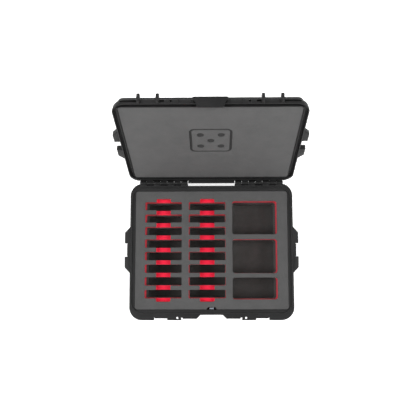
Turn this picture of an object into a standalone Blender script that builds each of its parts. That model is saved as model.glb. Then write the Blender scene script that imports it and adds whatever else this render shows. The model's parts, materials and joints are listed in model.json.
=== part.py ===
"""Hard transport case for tabletop miniatures, lid open, with a layered foam insert.

Metres, +Z up. Origin: centre of the foam insert's footprint, on the surface the case stands on.
The front (handle and two latches) faces -Y and the lid is hinged at +Y.
Lid pieces are drawn closed and then swung open by the empty on the hinge axis.
"""
import math

import bmesh
import bpy
from mathutils import Matrix, Vector

# Foam insert: the size that everything else is worked out from
FOAM_HALF_X = 0.240
FOAM_HALF_Y = 0.1855
FOAM_TOP_Z = 0.150
FOAM_BOTTOM_Z = 0.008
GREY_LAYER = 0.008
RED_LAYER = 0.044
FOAM_CORNER = 0.010
LID_FOAM_Z = 0.154
LID_FOAM_TOP_Z = 0.1805
GAP = 0.0003
SLIP = 0.0005

# The foam core is glued up from three blocks, side by side: name, lower x, upper x
FOAM_BLOCKS = (("left", -0.300, -0.0830), ("centre", -0.0827, 0.0550), ("right", 0.0553, 0.300))

# Tray slots, finger channels and compartments cut into the foam
SLOT_ROWS = 8
SLOT_PITCH = 0.0396
SLOT_FIRST_Y = 0.1390
SLOT_LENGTH_X = 0.116
SLOT_WIDTH_Y = 0.026
SLOT_COLUMNS_X = (-0.1520, -0.0137)
POCKET_DEPTH = 0.120
CHANNEL_WIDTH = 0.046
CHANNEL_HALF_Y = 0.162
CHANNEL_DEPTH = 0.025
COMPARTMENT_X = (0.066, 0.207)
COMPARTMENTS_Y = ((0.0483, 0.1545), (-0.0735, 0.0332), (-0.1548, -0.0872))
POCKET_CORNER = 0.004
COMPARTMENT_CORNER = 0.008
CHANNEL_CORNER = 0.008
VALVE_RELIEF_HALF = 0.0155
VALVE_RELIEF_Y = -0.1785
VALVE_RELIEF_Z = 0.095

# Die face engraved in the lid foam
EMBLEM_HALF = 0.060
EMBLEM_BAND = 0.007
EMBLEM_CORNER = 0.016
EMBLEM_Y = -0.025
EMBLEM_DEPTH = 0.003
PIP_REACH = 0.029
PIP_RADIUS = 0.010

# Shells
WALL = 0.0045
DRAFT = math.tan(math.radians(1.0))
PARTING_Z = 0.152
RIM_WIDTH = 0.017
RIM_CORNER = 0.040
RIM_HEIGHT = 0.018
FRONT_SHELF = 0.016
BASE_REAR_Y = 0.2110
LID_REAR_Y = 0.2100
REAR_GAP_HALF = 0.0745
RIM_SKIN = 0.003
STACK_OUTER = (0.190, 0.140)
STACK_INNER = (0.165, 0.115)
STACK_RAISE = 0.003
STACK_RECESS = 0.0035
LID_TOP_Z = 0.186
RIDGE_OFFSET = 0.0095
RIDGE_WIDTH = 0.003
RIDGE_HEIGHT = 0.0045
GROOVE_OFFSET = 0.0082
GROOVE_WIDTH = 0.0056
GROOVE_DEPTH = 0.0075
BUMP_HALF_Y = 0.0725
BUMP_SLANT = 0.018

# Lid hinge
HINGE_Y = 0.2125
HINGE_Z = 0.1462
LID_OPEN = math.radians(109.4)
KNUCKLE_RADIUS = 0.0070
HINGE_PIN_RADIUS = 0.0025
HINGE_INNER_X = 0.075
HINGE_OUTER_X = 0.228
KNUCKLES = 7
HINGE_LEDGE_Z = 0.1385
HINGE_GUARD_Z = 0.1542

# Latches: one design, used twice at the front and once on each side
LATCH_X = 0.159
LATCH_HALF = 0.0195
LATCH_SLOT_HALF = 0.021
LATCH_PIN_OUT = 0.0065
LATCH_PIN_Z = 0.132
LATCH_PIN_RADIUS = 0.002
LATCH_HANG = math.radians(190)
GUARD_HALF = 0.0245
FIN_HALF = 0.0040
LID_BUMP_Z = 0.1692
LID_BUMP_NOTCH_HALF = 0.0218

# Carry handle and pressure valve
HANDLE_HALF_X = 0.062
HANDLE_Y = -0.2005
HANDLE_Z = 0.124
HANDLE_DROP = 0.060
HANDLE_ROD = 0.0055
HANDLE_PIN_RADIUS = 0.0025
GRIP_HALF_X = 0.045
GRIP_RADIUS = 0.0085
VALVE_Z = 0.134

SIDE_HALF = FOAM_HALF_X + RIM_WIDTH
FRONT_EDGE = FOAM_HALF_Y + RIM_WIDTH
HINGE = (0.0, HINGE_Y, HINGE_Z)
TRIGGER_PIN = Vector((0, -0.0055, 0.0140))
TRIGGER_PIN_RADIUS = 0.0012

# Where a latch drawn at the origin, with +Y in and -Y out, goes on the case
LATCH_PLACES = {
    "front_left": Matrix.Translation((-LATCH_X, -FRONT_EDGE, 0)),
    "front_right": Matrix.Translation((LATCH_X, -FRONT_EDGE, 0)),
    "left": Matrix.Translation((-SIDE_HALF, 0, 0)) @ Matrix.Rotation(-math.pi / 2, 4, "Z"),
    "right": Matrix.Translation((SIDE_HALF, 0, 0)) @ Matrix.Rotation(math.pi / 2, 4, "Z"),
}

# name: colour, roughness, metallic
FINISHES = {
    "shell_plastic": ((0.036, 0.037, 0.038), 0.50, 0.0),
    "latch_plastic": ((0.030, 0.031, 0.032), 0.42, 0.0),
    "rubber": ((0.015, 0.015, 0.016), 0.75, 0.0),
    "grey_foam": ((0.105, 0.105, 0.105), 0.95, 0.0),
    "red_foam": ((0.78, 0.025, 0.070), 0.90, 0.0),
    "black_foam": ((0.020, 0.020, 0.019), 0.95, 0.0),
    "steel": ((0.55, 0.55, 0.56), 0.30, 1.0),
    "valve_grey": ((0.33, 0.36, 0.40), 0.45, 0.0),
}


def clear_scene():
    for item in list(bpy.data.objects):
        bpy.data.objects.remove(item, do_unlink=True)


def make_collection(name):
    collection = bpy.data.collections.new(name)
    bpy.context.scene.collection.children.link(collection)
    return collection


def make_materials():
    for name, (colour, roughness, metallic) in FINISHES.items():
        material = bpy.data.materials.new(name)
        material.use_nodes = True
        shader = material.node_tree.nodes["Principled BSDF"]
        shader.inputs["Base Color"].default_value = (*colour, 1.0)
        shader.inputs["Roughness"].default_value = roughness
        shader.inputs["Metallic"].default_value = metallic


def solid_from(shape, name="tool"):
    mesh = bpy.data.meshes.new(name)
    shape.to_mesh(mesh)
    shape.free()
    solid = bpy.data.objects.new(name, mesh)
    tools.objects.link(solid)
    return solid


def block(low, high):
    """Box between two corners."""
    low = Vector(low)
    high = Vector(high)
    shape = bmesh.new()
    size = high - low
    place = Matrix.Translation((low + high) / 2) @ Matrix.Diagonal((*size, 1.0))
    bmesh.ops.create_cube(shape, size=1.0, matrix=place)
    return solid_from(shape)


def upright_edges(shape):
    """Edges that join the top face to the bottom face."""
    found = []
    for edge in shape.edges:
        rise = abs(edge.verts[0].co.z - edge.verts[1].co.z)
        run = (edge.verts[0].co.xy - edge.verts[1].co.xy).length
        if rise > run:
            found.append(edge)
    return found


def rounded_block(half_x, y_low, y_high, z_low, z_high, corner, taper=0.0, edge=0.0, arc=5):
    """Box with round upright corners. taper draws the lower end in (or the upper end, if
    negative), and edge rounds that narrower end."""
    shape = bmesh.new()
    bmesh.ops.create_cube(shape, size=2.0)
    middle_y = (y_low + y_high) / 2
    half_y = (y_high - y_low) / 2
    for vert in shape.verts:
        upper = vert.co.z > 0
        inset = 0.0
        if taper > 0 and not upper:
            inset = taper
        if taper < 0 and upper:
            inset = -taper
        vert.co.x *= half_x - inset
        vert.co.y = middle_y + vert.co.y * (half_y - inset)
        vert.co.z = z_high if upper else z_low
    bmesh.ops.bevel(shape, geom=upright_edges(shape), offset=corner, segments=arc,
                    profile=0.5, affect="EDGES")
    if edge > 0:
        level = z_low if taper > 0 else z_high
        rim = [e for e in shape.edges if all(abs(v.co.z - level) < 1e-6 for v in e.verts)]
        bmesh.ops.bevel(shape, geom=rim, offset=edge, segments=3, profile=0.5, affect="EDGES")
    return solid_from(shape)


def rod(centre, axis, radius, length, sides=20):
    """Cylinder about a row axis, centred on a point."""
    turns = {"X": Matrix.Rotation(math.pi / 2, 4, "Y"), "Y": Matrix.Rotation(math.pi / 2, 4, "X"),
             "Z": Matrix.Identity(4)}
    shape = bmesh.new()
    bmesh.ops.create_cone(shape, cap_ends=True, segments=sides, radius1=radius, radius2=radius,
                          depth=length, matrix=Matrix.Translation(centre) @ turns[axis])
    return solid_from(shape)


def mesh_from_curve(curve_object):
    """Turn a curve into a welded mesh object and remove the curve."""
    bpy.context.view_layer.update()
    graph = bpy.context.evaluated_depsgraph_get()
    mesh = bpy.data.meshes.new_from_object(curve_object.evaluated_get(graph))
    shape = bmesh.new()
    shape.from_mesh(mesh)
    bmesh.ops.remove_doubles(shape, verts=shape.verts, dist=0.00002)
    bmesh.ops.recalc_face_normals(shape, faces=shape.faces)
    shape.transform(curve_object.matrix_world)
    bpy.data.meshes.remove(mesh)
    bpy.data.objects.remove(curve_object, do_unlink=True)
    return solid_from(shape)


def outline(points, low, high, along="Z"):
    """Flat outline extruded from low to high. Points are (x, y) along Z and (y, z) along X."""
    curve = bpy.data.curves.new("outline", "CURVE")
    curve.dimensions = "2D"
    curve.fill_mode = "BOTH"
    curve.extrude = (high - low) / 2
    spline = curve.splines.new("POLY")
    spline.points.add(len(points) - 1)
    for point, (first, second) in zip(spline.points, points):
        point.co = (first, second, 0.0, 1.0)
    spline.use_cyclic_u = True
    drawn = bpy.data.objects.new("outline", curve)
    tools.objects.link(drawn)
    middle = (low + high) / 2
    if along == "Z":
        drawn.matrix_world = Matrix.Translation((0, 0, middle))
    else:
        frame = Matrix(((0, 0, 1, middle), (1, 0, 0, 0), (0, 1, 0, 0), (0, 0, 0, 1)))
        drawn.matrix_world = frame
    return mesh_from_curve(drawn)


def arc_points(centre, radius, start, end, steps):
    """Points on an arc, angles in degrees."""
    points = []
    for step in range(steps + 1):
        angle = math.radians(start + (end - start) * step / steps)
        points.append((centre[0] + radius * math.cos(angle), centre[1] + radius * math.sin(angle)))
    return points


def merged(solids):
    """One tool from several solids that don't touch."""
    shape = bmesh.new()
    for solid in solids:
        shape.from_mesh(solid.data)
        bpy.data.objects.remove(solid, do_unlink=True)
    return solid_from(shape)


def combine(target, tool, operation):
    modifier = target.modifiers.new("combine", "BOOLEAN")
    modifier.operation = operation
    modifier.object = tool
    bpy.context.view_layer.update()
    graph = bpy.context.evaluated_depsgraph_get()
    mesh = bpy.data.meshes.new_from_object(target.evaluated_get(graph))
    target.modifiers.clear()
    target.data = mesh
    bpy.data.objects.remove(tool, do_unlink=True)


def add(target, *solids):
    for solid in solids:
        combine(target, solid, "UNION")


def cut(target, *solids):
    for solid in solids:
        combine(target, solid, "DIFFERENCE")


def finish(solid, name, material, pivot=None, smooth=40):
    """Name a finished solid, give it its material and hang it on its pivot."""
    solid.name = name
    solid.data.name = name
    shape = bmesh.new()
    shape.from_mesh(solid.data)
    bmesh.ops.remove_doubles(shape, verts=shape.verts, dist=0.00001)
    bmesh.ops.dissolve_limit(shape, angle_limit=math.radians(0.5), verts=shape.verts, edges=shape.edges)
    bmesh.ops.triangulate(shape, faces=shape.faces)
    shape.to_mesh(solid.data)
    shape.free()
    solid.data.materials.clear()
    solid.data.materials.append(bpy.data.materials[material])
    solid.data.shade_smooth()
    solid.data.set_sharp_from_angle(angle=math.radians(smooth))
    tools.objects.unlink(solid)
    parts.objects.link(solid)
    if pivot:
        solid.parent = pivot
    return solid


def make_pivot(name, place):
    pivot = bpy.data.objects.new(name, None)
    pivot.empty_display_size = 0.02
    tools.objects.link(pivot)
    pivot.matrix_world = place
    return pivot


def in_pivot_frame(solid, origin):
    """Move a solid drawn in case coordinates so that its pivot is at its mesh origin."""
    solid.data.transform(Matrix.Translation(-Vector(origin)))
    return solid


# ---------------------------------------------------------------- foam

def pocket(x_low, x_high, y_low, y_high, corner, arc=2):
    """Cutter that goes right through a layer of the insert."""
    half_x = (x_high - x_low) / 2
    solid = rounded_block(half_x, y_low, y_high, FOAM_BOTTOM_Z, FOAM_TOP_Z + 0.01, corner, arc=arc)
    solid.data.transform(Matrix.Translation(((x_low + x_high) / 2, 0, 0)))
    return solid


def tray_pockets():
    """The slots and compartments, which go down through every layer to the pad."""
    found = []
    for centre_x in SLOT_COLUMNS_X:
        for row in range(SLOT_ROWS):
            centre_y = SLOT_FIRST_Y - SLOT_PITCH * row
            found.append(pocket(centre_x - SLOT_LENGTH_X / 2, centre_x + SLOT_LENGTH_X / 2,
                                centre_y - SLOT_WIDTH_Y / 2, centre_y + SLOT_WIDTH_Y / 2, POCKET_CORNER))
    for y_low, y_high in COMPARTMENTS_Y:
        found.append(pocket(*COMPARTMENT_X, y_low, y_high, COMPARTMENT_CORNER, arc=3))
    return merged(found)


def finger_channels():
    """One channel along each column of slots, as deep as the layers it is cut into."""
    half = CHANNEL_WIDTH / 2
    return merged([pocket(x - half, x + half, -CHANNEL_HALF_Y, CHANNEL_HALF_Y, CHANNEL_CORNER, arc=3)
                   for x in SLOT_COLUMNS_X])


def valve_relief(margin):
    """Room for the valve's nut, at the front edge of the grey and red layers."""
    half = VALVE_RELIEF_HALF + margin
    return block((-half, -0.200, VALVE_RELIEF_Z), (half, VALVE_RELIEF_Y + margin, 0.160))


def foam_slab(z_low, z_high):
    """A plain layer of foam that fills the drafted case between two heights."""
    inset = (FOAM_TOP_Z - z_high) * DRAFT
    taper = (z_high - z_low) * DRAFT
    return rounded_block(FOAM_HALF_X - inset, inset - FOAM_HALF_Y, FOAM_HALF_Y - inset,
                         z_low, z_high, FOAM_CORNER, taper=taper, arc=4)


def core_block(x_low, x_high, z_low, z_high, *more_cutters):
    """One block of the pierced core, between two seams and two heights."""
    slab = foam_slab(z_low, z_high)
    cut(slab, tray_pockets(), *more_cutters)
    if x_low > -FOAM_HALF_X:
        cut(slab, block((-0.5, -0.5, -0.1), (x_low, 0.5, 0.5)))
    if x_high < FOAM_HALF_X:
        cut(slab, block((x_high, -0.5, -0.1), (0.5, 0.5, 0.5)))
    return slab


def build_base_foam():
    """A plain pad, a pierced core in black and red, and a one-piece grey skin."""
    grey_low = FOAM_TOP_Z - GREY_LAYER
    red_low = grey_low - RED_LAYER
    channel_floor = FOAM_TOP_Z - CHANNEL_DEPTH
    pocket_floor = FOAM_TOP_Z - POCKET_DEPTH
    finish(foam_slab(FOAM_BOTTOM_Z, pocket_floor - GAP), "foam_floor_pad", "black_foam")
    for side, x_low, x_high in FOAM_BLOCKS:
        black = core_block(x_low, x_high, pocket_floor, red_low - GAP)
        finish(black, "foam_black_" + side, "black_foam")
        if side == "right":
            red = core_block(x_low, x_high, red_low, grey_low - GAP)
            finish(red, "foam_red_right", "red_foam")
        else:
            lower = core_block(x_low, x_high, red_low, channel_floor - GAP, valve_relief(0.002))
            finish(lower, "foam_red_lower_" + side, "red_foam")
            upper = core_block(x_low, x_high, channel_floor, grey_low - GAP,
                               finger_channels(), valve_relief(0.002))
            finish(upper, "foam_red_upper_" + side, "red_foam")
    skin = foam_slab(grey_low, FOAM_TOP_Z)
    cut(skin, tray_pockets(), finger_channels(), valve_relief(0.0))
    finish(skin, "foam_top_layer", "grey_foam")


def emblem():
    """A plain five-pip die face, engraved in the lid foam."""
    face = LID_FOAM_Z
    half = EMBLEM_HALF
    frame = rounded_block(half, EMBLEM_Y - half, EMBLEM_Y + half, face - 0.01, face + EMBLEM_DEPTH,
                          EMBLEM_CORNER, arc=4)
    half -= EMBLEM_BAND
    cut(frame, rounded_block(half, EMBLEM_Y - half, EMBLEM_Y + half, face - 0.02, face + 0.01,
                             EMBLEM_CORNER - EMBLEM_BAND, arc=4))
    reach = PIP_REACH
    pips = [rod((x, EMBLEM_Y + y, face), "Z", PIP_RADIUS, 2 * EMBLEM_DEPTH, 16)
            for x, y in ((0, 0), (reach, reach), (-reach, reach), (reach, -reach), (-reach, -reach))]
    return merged([frame] + pips)


def build_lid_foam(pivot):
    """Flat foam sheet that fills the lid, with the die face cut in it."""
    slab = rounded_block(FOAM_HALF_X, -FOAM_HALF_Y, FOAM_HALF_Y, LID_FOAM_Z, LID_FOAM_TOP_Z, FOAM_CORNER,
                         taper=-0.0045, arc=4)
    cut(slab, emblem())
    finish(in_pivot_frame(slab, HINGE), "lid_foam", "grey_foam", pivot)


# ---------------------------------------------------------------- base shell

def ring(offset, width, z_low, z_high):
    """A band round the foam, offset outwards from its edge, with corners parallel to the rim's."""
    inner = RIM_CORNER - RIM_WIDTH + offset
    band = rounded_block(FOAM_HALF_X + offset + width, -FOAM_HALF_Y - offset - width,
                         FOAM_HALF_Y + offset + width, z_low, z_high, inner + width, arc=5)
    hole = rounded_block(FOAM_HALF_X + offset, -FOAM_HALF_Y - offset, FOAM_HALF_Y + offset,
                         z_low - 0.01, z_high + 0.01, inner, arc=5)
    cut(band, hole)
    return band


def placed_at_latch(make):
    """One copy of a solid for each latch, drawn with +Y in, -Y out and the lid edge at y = 0."""
    copies = []
    for place in LATCH_PLACES.values():
        solid = make()
        solid.data.transform(place)
        copies.append(solid)
    return copies


def latch_slot():
    """Room under the shelf for the hanging latch, and the notch it swings up through."""
    lower = block((-LATCH_SLOT_HALF, -0.03, 0.090), (LATCH_SLOT_HALF, 0.0095, PARTING_Z - 0.006))
    upper = block((-LATCH_SLOT_HALF, -0.03, 0.100), (LATCH_SLOT_HALF, -0.0075, PARTING_Z + 0.02))
    add(lower, upper)
    return lower


def latch_ears():
    """Lugs that hold a latch's pin, one each side of its slot."""
    ears = []
    for side in (-1, 1):
        near = side * (LATCH_SLOT_HALF - 0.0001)
        far = side * (LATCH_SLOT_HALF + 0.005)
        points = [(0.0135, 0.118), (0.0135, 0.140), (-0.0125, 0.140), (-0.0125, 0.130),
                  (-0.0085, 0.1255)]
        ears.append(outline(points, min(near, far), max(near, far), along="X"))
    return merged(ears)


def latch_pin_bore():
    """Bore through a latch's lugs, longer than its pin by the clearance at each end."""
    return rod((0, -LATCH_PIN_OUT, LATCH_PIN_Z), "X", LATCH_PIN_RADIUS + GAP, 0.0505, 16)


def side_bump(side, z_low, z_high):
    """Bump guard at the middle of a side, the same on the base and the lid."""
    inner = SIDE_HALF - 0.006
    outer = SIDE_HALF + FRONT_SHELF + 0.0005
    y = BUMP_HALF_Y
    points = [(inner, -y), (SIDE_HALF, -y), (outer, BUMP_SLANT - y), (outer, y - BUMP_SLANT),
              (SIDE_HALF, y), (inner, y)]
    if side < 0:
        points = [(-px, py) for px, py in reversed(points)]
    return outline(points, z_low, z_high, along="Z")


def guard_legs(side):
    """Bump guards carried down the side of the tub, either side of the latch."""
    legs = []
    for y in (-0.036, 0.036):
        low, high = sorted((side * (SIDE_HALF - 0.014), side * (SIDE_HALF + 0.010)))
        legs.append(block((low, y - 0.006, 0.070), (high, y + 0.006, 0.128)))
    return merged(legs)


def hinge_knuckle(x_low, x_high, for_lid):
    """A barrel on the hinge axis and the web that ties it to its shell."""
    middle = (x_low + x_high) / 2
    barrel = rod((middle, HINGE_Y, HINGE_Z), "X", KNUCKLE_RADIUS, x_high - x_low, 16)
    x_low += GAP
    x_high -= GAP
    if for_lid:
        web = block((x_low, HINGE_Y - 0.0063, HINGE_Z), (x_high, HINGE_Y + 0.0050, 0.166))
        arm = block((x_low, 0.1990, 0.1560), (x_high, HINGE_Y + 0.0050, 0.166))
        add(web, arm)
    else:
        web = block((x_low, 0.1985, HINGE_Z - 0.0060), (x_high, HINGE_Y, HINGE_Z + 0.0040))
    add(barrel, web)
    return barrel


def knuckles(for_lid):
    """Base and lid knuckles take turns along each of the two hinges."""
    pitch = (HINGE_OUTER_X - HINGE_INNER_X) / KNUCKLES
    found = []
    for side in (-1, 1):
        for index in range(KNUCKLES):
            if (index % 2 == 1) != for_lid:
                continue
            low = HINGE_INNER_X + pitch * index + SLIP
            high = HINGE_INNER_X + pitch * (index + 1) - SLIP
            if side < 0:
                low, high = -high, -low
            found.append(hinge_knuckle(low, high, for_lid))
    return found


def hinge_wells(z_low, z_high):
    """Room for the barrels in the rear rim of either shell, and the open gap between them."""
    found = [block((-REAR_GAP_HALF, FRONT_EDGE + 0.0005, 0.1), (REAR_GAP_HALF, 0.25, 0.2))]
    for side in (-1, 1):
        low, high = sorted((side * (REAR_GAP_HALF - 0.001), side * (HINGE_OUTER_X + 0.001)))
        found.append(block((low, FRONT_EDGE + 0.0015, z_low), (high, 0.25, z_high)))
    return found


def hinge_ledges():
    """Floor under each row of barrels, and the skirt of the rim between the two rows."""
    rim_low = PARTING_Z - RIM_HEIGHT
    found = [block((-REAR_GAP_HALF - 0.001, FRONT_EDGE - 0.0025, rim_low),
                   (REAR_GAP_HALF + 0.001, FRONT_EDGE + 0.0003, PARTING_Z - 0.005))]
    for side in (-1, 1):
        low, high = sorted((side * REAR_GAP_HALF, side * (HINGE_OUTER_X + 0.002)))
        found.append(block((low, FOAM_HALF_Y + 0.0030, rim_low + 0.0005),
                           (high, BASE_REAR_Y - 0.0010, HINGE_LEDGE_Z - 0.0002)))
    return found


def hinge_bores():
    """Bores for the two hinge pins, one through each row of barrels."""
    middle = (HINGE_INNER_X + HINGE_OUTER_X) / 2
    length = HINGE_OUTER_X - HINGE_INNER_X + 0.01
    return merged([rod((side * middle, HINGE_Y, HINGE_Z), "X", HINGE_PIN_RADIUS + GAP, length, 16)
                   for side in (-1, 1)])


def shelf_cuts():
    """The carry-handle recess, the stepped edge, the small notches and the padlock holes."""
    edge = -(FRONT_EDGE + FRONT_SHELF)
    step = block((-0.0905, edge - 0.01, 0.12), (0.0905, edge + 0.0045, 0.17))
    recess = outline([(-0.047, edge - 0.01), (0.047, edge - 0.01), (0.047, edge + 0.0040),
                      (0.035, edge + 0.0150), (0.031, edge + 0.0170), (-0.031, edge + 0.0170),
                      (-0.035, edge + 0.0150), (-0.047, edge + 0.0040)], 0.10, 0.18)
    found = [step, recess]
    for side in (-1, 1):
        low, high = sorted((side * 0.0900, side * 0.0950))
        found.append(block((low, edge - 0.012, 0.12), (high, edge + 0.008, 0.17)))
        found.append(rod((side * 0.107, edge + 0.007, 0.150), "Z", 0.0035, 0.05, 16))
    return found


def handle_ears():
    """Lugs that hold the carry handle's pins."""
    ears = []
    for side in (-1, 1):
        low, high = sorted((side * (HANDLE_HALF_X + 0.0070), side * (HANDLE_HALF_X + 0.0125)))
        points = [(-0.1880, 0.1120), (-0.1880, 0.1400), (HANDLE_Y - 0.0065, 0.1400),
                  (HANDLE_Y - 0.0065, HANDLE_Z), (HANDLE_Y - 0.0030, HANDLE_Z - 0.0060)]
        ears.append(outline(points, low, high, along="X"))
    return merged(ears)


def handle_bores():
    """Bores for the two pins of the carry handle."""
    return merged([rod((side * (HANDLE_HALF_X + 0.0015), HANDLE_Y, HANDLE_Z), "X",
                       HANDLE_PIN_RADIUS + GAP, 0.0230, 16) for side in (-1, 1)])


def shelf_ribs():
    """Stiffening ribs under the front shelf and the side rims."""
    ribs = []
    for x in (0.131, 0.187, 0.230):
        for side in (-1, 1):
            ribs.append(block((side * x - 0.0012, -0.2165, 0.1360), (side * x + 0.0012, -0.1885, 0.1470)))
    for y in (-0.145, -0.105, 0.105, 0.145):
        for side in (-1, 1):
            low, high = sorted((side * 0.2430, side * 0.2550))
            ribs.append(block((low, y - 0.0012, 0.1360), (high, y + 0.0012, 0.1470)))
    return merged(ribs)


def stack_frame(z_low, z_high, slack):
    """The raised frame on the lid, and with some slack the recess under the base that takes it."""
    half_x, half_y = (size + slack for size in STACK_OUTER)
    band = rounded_block(half_x, -half_y, half_y, z_low, z_high, 0.020, arc=4)
    half_x, half_y = (size - slack for size in STACK_INNER)
    cut(band, rounded_block(half_x, -half_y, half_y, z_low - 0.01, z_high + 0.01, 0.012, arc=4))
    return band


def build_base_shell():
    """Rim, tub, latch and handle mounts and hinge barrels, then the cavity for the foam."""
    edge = -(FRONT_EDGE + FRONT_SHELF)
    rim_low = PARTING_Z - RIM_HEIGHT
    shell = rounded_block(SIDE_HALF, edge, BASE_REAR_Y, rim_low, PARTING_Z, RIM_CORNER, arc=6)
    cut(shell, rounded_block(SIDE_HALF - RIM_SKIN, edge + RIM_SKIN, BASE_REAR_Y - RIM_SKIN, rim_low - 0.01,
                             PARTING_Z - 0.006, RIM_CORNER - RIM_SKIN, arc=6))
    cut(shell, *hinge_wells(HINGE_LEDGE_Z, 0.2))
    add(shell, *hinge_ledges())
    for side in (-1, 1):
        add(shell, side_bump(side, 0.124, PARTING_Z - 0.0012))
    outer = WALL + SLIP
    depth = PARTING_Z - 0.001
    add(shell, rounded_block(FOAM_HALF_X + outer, -FOAM_HALF_Y - outer, FOAM_HALF_Y + outer, 0.0, depth,
                             FOAM_CORNER + outer, taper=depth * DRAFT, edge=0.006, arc=5))
    add(shell, ring(RIDGE_OFFSET, RIDGE_WIDTH, PARTING_Z - 0.002, PARTING_Z + RIDGE_HEIGHT))
    add(shell, shelf_ribs())
    for side in (-1, 1):
        add(shell, guard_legs(side))
    cut(shell, *placed_at_latch(latch_slot))
    add(shell, *placed_at_latch(latch_ears))
    cut(shell, *placed_at_latch(latch_pin_bore))
    cut(shell, *shelf_cuts())
    add(shell, handle_ears())
    cut(shell, handle_bores())
    add(shell, *knuckles(for_lid=False))
    cut(shell, hinge_bores())
    cut(shell, stack_frame(-0.01, STACK_RECESS, 0.002))
    low = FOAM_BOTTOM_Z - SLIP
    cavity_depth = PARTING_Z + 0.01 - low
    flare = 0.012 * DRAFT
    cut(shell, rounded_block(FOAM_HALF_X + SLIP + flare, -FOAM_HALF_Y - SLIP - flare,
                             FOAM_HALF_Y + SLIP + flare, low, PARTING_Z + 0.01, FOAM_CORNER + 0.0005,
                             taper=cavity_depth * DRAFT, arc=4))
    cut(shell, rod((0, -0.1900, VALVE_Z), "Y", 0.0050 + GAP, 0.020, 20))
    finish(shell, "base_shell", "shell_plastic")


# ---------------------------------------------------------------- lid shell

def latch_guard():
    """Two rounded fins on the lid, either side of a latch."""
    fins = []
    for side in (-1, 1):
        low = side * GUARD_HALF - FIN_HALF
        high = side * GUARD_HALF + FIN_HALF
        points = [(0.0045, 0.1533), (0.0045, 0.1800), (-0.0050, 0.1790), (-0.0130, 0.1755),
                  (-0.0158, 0.1670), (-0.0158, 0.1590), (-0.0122, 0.1533)]
        fins.append(outline(points, low, high, along="X"))
    return merged(fins)


def lid_latch_guards():
    """Fins by the front latches, and bump guards like the base's by the side latches."""
    found = []
    for name, place in LATCH_PLACES.items():
        if name.startswith("front"):
            guard = latch_guard()
            guard.data.transform(place)
        else:
            guard = side_bump(-1 if name == "left" else 1, PARTING_Z + 0.0018, LID_BUMP_Z)
            notch = block((-LID_BUMP_NOTCH_HALF, -0.03, 0.1), (LID_BUMP_NOTCH_HALF, 0.0, 0.2))
            notch.data.transform(place)
            cut(guard, notch)
        found.append(guard)
    return found


def hinge_guards():
    """Rear ledge of the lid over each row of barrels."""
    found = []
    for side in (-1, 1):
        low, high = sorted((side * (HINGE_INNER_X - 0.0010), side * HINGE_OUTER_X))
        found.append(block((low, 0.1990, HINGE_GUARD_Z), (high, HINGE_Y + 0.0030, 0.1655)))
    return found


def lid_tongue():
    """The centre tongue that drops into the handle recess when the lid is closed."""
    right = [(0.0310, 0.1365), (0.0345, 0.1380), (0.0370, 0.1525), (0.0440, 0.1600), (0.0460, 0.1690)]
    points = [(-x, z) for x, z in reversed(right)] + right
    shape = outline(points, 0.0041, 0.0078)
    shape.data.transform(Matrix.Translation((0, -FRONT_EDGE, 0)) @ Matrix.Rotation(math.pi / 2, 4, "X"))
    add(shape, block((-0.0435, -FRONT_EDGE - 0.0070, 0.1600), (0.0435, -FRONT_EDGE + 0.0035, 0.1682)))
    return shape


def rear_skirt():
    """Rear rim of the lid between the hinges, turned down over the edge of the base."""
    half = REAR_GAP_HALF - 0.0010
    low = LID_REAR_Y - 0.0055
    high = LID_REAR_Y - 0.0010
    return [block((-half, low - 0.0060, 0.1570), (half, high, 0.1660)),
            block((-half, low, 0.1432), (half, high, 0.1640))]


def lid_rim_cuts():
    """Moulding pockets along the front of the lid rim, deeper above the seal's groove."""
    found = []
    for low, high in ((0.1880, 0.2330), (0.1180, 0.1310), (0.0980, 0.1040)):
        for side in (-1, 1):
            x_low, x_high = sorted((side * low, side * high))
            found.append(block((x_low, -FRONT_EDGE - 0.01, PARTING_Z + 0.0015),
                               (x_high, -FRONT_EDGE + 0.0022, PARTING_Z + 0.0137)))
            found.append(block((x_low, -FRONT_EDGE - 0.01, PARTING_Z + 0.0083),
                               (x_high, -FRONT_EDGE + 0.0110, PARTING_Z + 0.0136)))
    return found


def build_lid_shell(pivot):
    """Rim, crown, guards, tongue and hinge barrels, then the seal groove and the cavity."""
    low = PARTING_Z + GAP
    rim_high = PARTING_Z + RIM_HEIGHT
    shell = rounded_block(SIDE_HALF, -FRONT_EDGE, LID_REAR_Y, low, rim_high, RIM_CORNER,
                          taper=-0.0035, arc=6)
    cut(shell, *hinge_wells(0.1, HINGE_GUARD_Z))
    outer = WALL + SLIP
    add(shell, rounded_block(FOAM_HALF_X + outer, -FOAM_HALF_Y - outer, FOAM_HALF_Y + outer,
                             rim_high - 0.006, LID_TOP_Z, FOAM_CORNER + 0.008, taper=-0.004,
                             edge=0.007, arc=5))
    add(shell, stack_frame(LID_TOP_Z - 0.002, LID_TOP_Z + STACK_RAISE, 0.0))
    add(shell, *lid_latch_guards())
    cut(shell, *lid_rim_cuts())
    add(shell, lid_tongue())
    add(shell, *rear_skirt(), *hinge_guards())
    add(shell, *knuckles(for_lid=True))
    cut(shell, hinge_bores())
    cut(shell, ring(GROOVE_OFFSET, GROOVE_WIDTH, PARTING_Z - 0.01, PARTING_Z + GROOVE_DEPTH))
    cut(shell, rounded_block(FOAM_HALF_X + SLIP, -FOAM_HALF_Y - SLIP, FOAM_HALF_Y + SLIP, PARTING_Z - SLIP,
                             LID_FOAM_TOP_Z + SLIP, FOAM_CORNER + 0.0005, taper=-0.004, arc=4))
    finish(in_pivot_frame(shell, HINGE), "lid_shell", "shell_plastic", pivot)


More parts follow.
